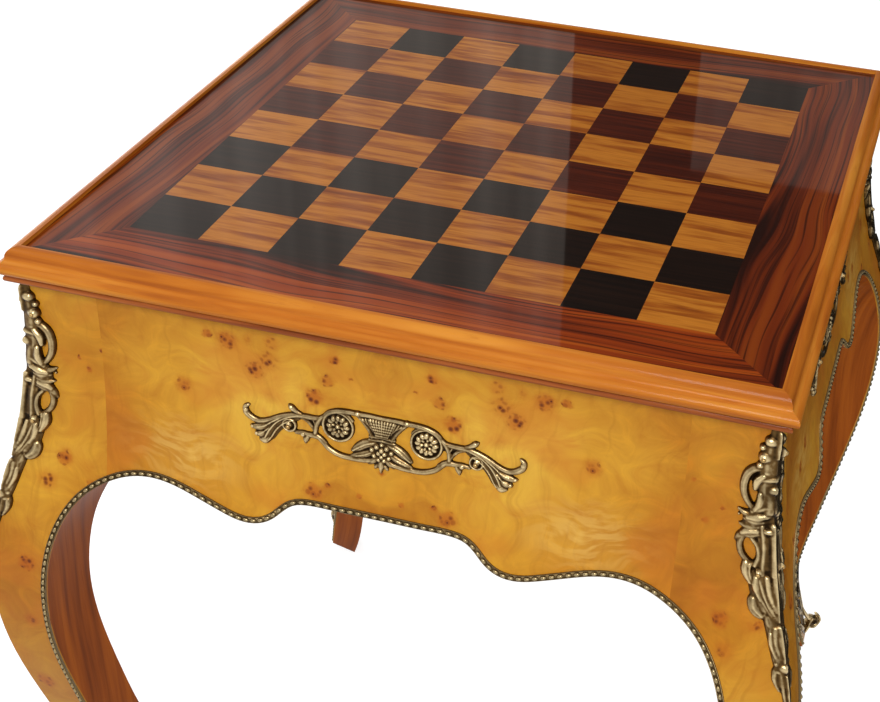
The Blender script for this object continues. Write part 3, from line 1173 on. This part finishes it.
FLOOR_REACH = 12.0         # metres
FLOOR_SHADE = (0.45, 0.45, 0.45, 1.0)
FLOOR_GLOW = 0.82          # added where the floor is seen, which makes it white there
SKY_LIGHT = 0.45           # strength of the world on everything that isn't seen in it
CARD_SHADE = (0.02, 0.02, 0.02, 1.0)
CARD_GLOW = (1.0, 0.9, 0.8, 1.0)


def seen(tree):
    """1 where the camera looks, also by reflection and through glass, 0 for light on its way."""
    path = tree.nodes.new("ShaderNodeLightPath")
    either = path.outputs["Is Camera Ray"]
    for kind in ("Is Glossy Ray", "Is Transmission Ray"):
        node = tree.nodes.new("ShaderNodeMath")
        node.operation = "MAXIMUM"
        tree.links.new(either, node.inputs[0])
        tree.links.new(path.outputs[kind], node.inputs[1])
        either = node.outputs[0]
    return either


def panel(name, low, high, finish):
    """Flat rectangle between two corners, level or facing front."""
    low, high = Vector(low), Vector(high)
    span = high - low
    bm = bmesh.new()
    bmesh.ops.create_grid(bm, x_segments=1, y_segments=1, size=0.5)
    if span.y == 0:
        bmesh.ops.rotate(bm, cent=(0, 0, 0), matrix=Matrix.Rotation(math.radians(90), 3, "X"),
                         verts=bm.verts)
    bmesh.ops.scale(bm, vec=[length or 1 for length in span], verts=bm.verts)
    bmesh.ops.translate(bm, vec=(low + high) / 2, verts=bm.verts)
    mesh = bpy.data.meshes.new(name)
    bm.to_mesh(mesh)
    bm.free()
    mesh.materials.append(finish)
    return placed(name, mesh)


def make_floor():
    f = Finish("pale_floor", Roughness=0.9, Base_Color=FLOOR_SHADE)
    f.give("Emission Color", (1.0, 1.0, 1.0, 1.0))
    f.give("Emission Strength", f.times(seen(f.tree), FLOOR_GLOW))
    floor = panel("floor", (-FLOOR_REACH, -FLOOR_REACH, 0), (FLOOR_REACH, FLOOR_REACH, 0),
                  f.material)


# (name, low corner, high corner, glow) of cards that only reflections see, in metres
CARDS = (("board_flag_high", (-0.357, 1.6, 1.51), (0.6, 1.6, 2.8), 0.0),
         ("board_flag_low", (-0.357, 1.6, 0.9), (-0.113, 1.6, 1.51), 0.0),
         ("grey_card", (-0.113, 1.6, 0.9), (0.6, 1.6, 1.51), 0.5),
         ("curtain", (-3.0, 1.6, 0.9), (-0.357, 1.6, 2.8), 0.9),
         ("side_flag", (0.34, 0.05, 0.02), (3.0, 4.0, 0.02), 0.0),
         ("side_flag_upright", (0.6, 1.7, 0.02), (3.0, 1.7, 2.8), 0.0))


def card_finish(name, glow):
    """Dull dark cloth; a glowing one hangs in folds that run up and down."""
    f = Finish(name, Roughness=1.0, Specular_IOR_Level=0.0, Base_Color=CARD_SHADE)
    f.give("Emission Color", CARD_GLOW)
    folds = f.noise(f.join(f.times(f.x, 9.0), 0.0, 0.0), 1.0, 2.0)
    f.give("Emission Strength", f.times(f.span(folds, 0.3, 0.7, 0.45, 1.0), glow))
    return f.material


def make_cards():
    """Cards beyond the table, so that its polish shows more than a white room."""
    for name, low, high, glow in CARDS:
        card = panel(name, low, high, card_finish(name, glow))
        card.visible_camera = False
        card.visible_diffuse = False
        card.visible_shadow = False


def make_world():
    """White to the camera and in reflections, and plain soft light on everything else."""
    world = bpy.data.worlds.new("studio")
    bpy.context.scene.world = world
    world.use_nodes = True
    tree = world.node_tree
    sky = tree.nodes["Background"]
    sky.inputs["Color"].default_value = (1, 1, 1, 1)
    strength = tree.nodes.new("ShaderNodeMapRange")
    tree.links.new(seen(tree), strength.inputs["Value"])
    strength.inputs["To Min"].default_value = SKY_LIGHT
    strength.inputs["To Max"].default_value = 1.0
    tree.links.new(strength.outputs["Result"], sky.inputs["Strength"])


LAMPS = (                  # (name, place, point it faces, size, watts), metres
    ("key", (0.42, -2.5, 2.6), (0, -0.1, 0.5), 1.4, 64),
    ("fill", (-2.2, -0.8, 2.4), (0, 0, 0.5), 1.6, 9),
    ("back", (-2.4, 2.4, 1.4), (0, 0, 0.5), 1.6, 34),
)
CAMERA_PLACE = (0.34384, -1.12302, 1.29207)
CAMERA_TURN = (56.83511, -2.67684, 15.30123)       # degrees
CAMERA_LENS = 64.325
CAMERA_SHIFT = -0.15909


def make_lamp(name, place, target, size, power):
    """Square soft lamp."""
    data = bpy.data.lights.new(name, "AREA")
    data.shape = "SQUARE"
    data.size = size
    data.energy = power
    lamp = placed(name, data)
    lamp.location = place
    lamp.rotation_euler = (Vector(target) - Vector(place)).to_track_quat("-Z", "Y").to_euler()


def make_camera():
    data = bpy.data.cameras.new("camera")
    data.sensor_width = 36.0
    data.lens = CAMERA_LENS
    data.shift_x = CAMERA_SHIFT
    camera = placed("camera", data)
    camera.location = CAMERA_PLACE
    camera.rotation_euler = [math.radians(angle) for angle in CAMERA_TURN]
    bpy.context.scene.camera = camera


def main():
    dress_nodes()
    make_bead_trims()
    make_apron_mounts()
    make_corner_mounts()
    make_foot_mounts()
    make_floor()
    make_cards()
    make_world()
    for lamp in LAMPS:
        make_lamp(*lamp)
    make_camera()
    bpy.context.scene.view_settings.view_transform = "Standard"


main()
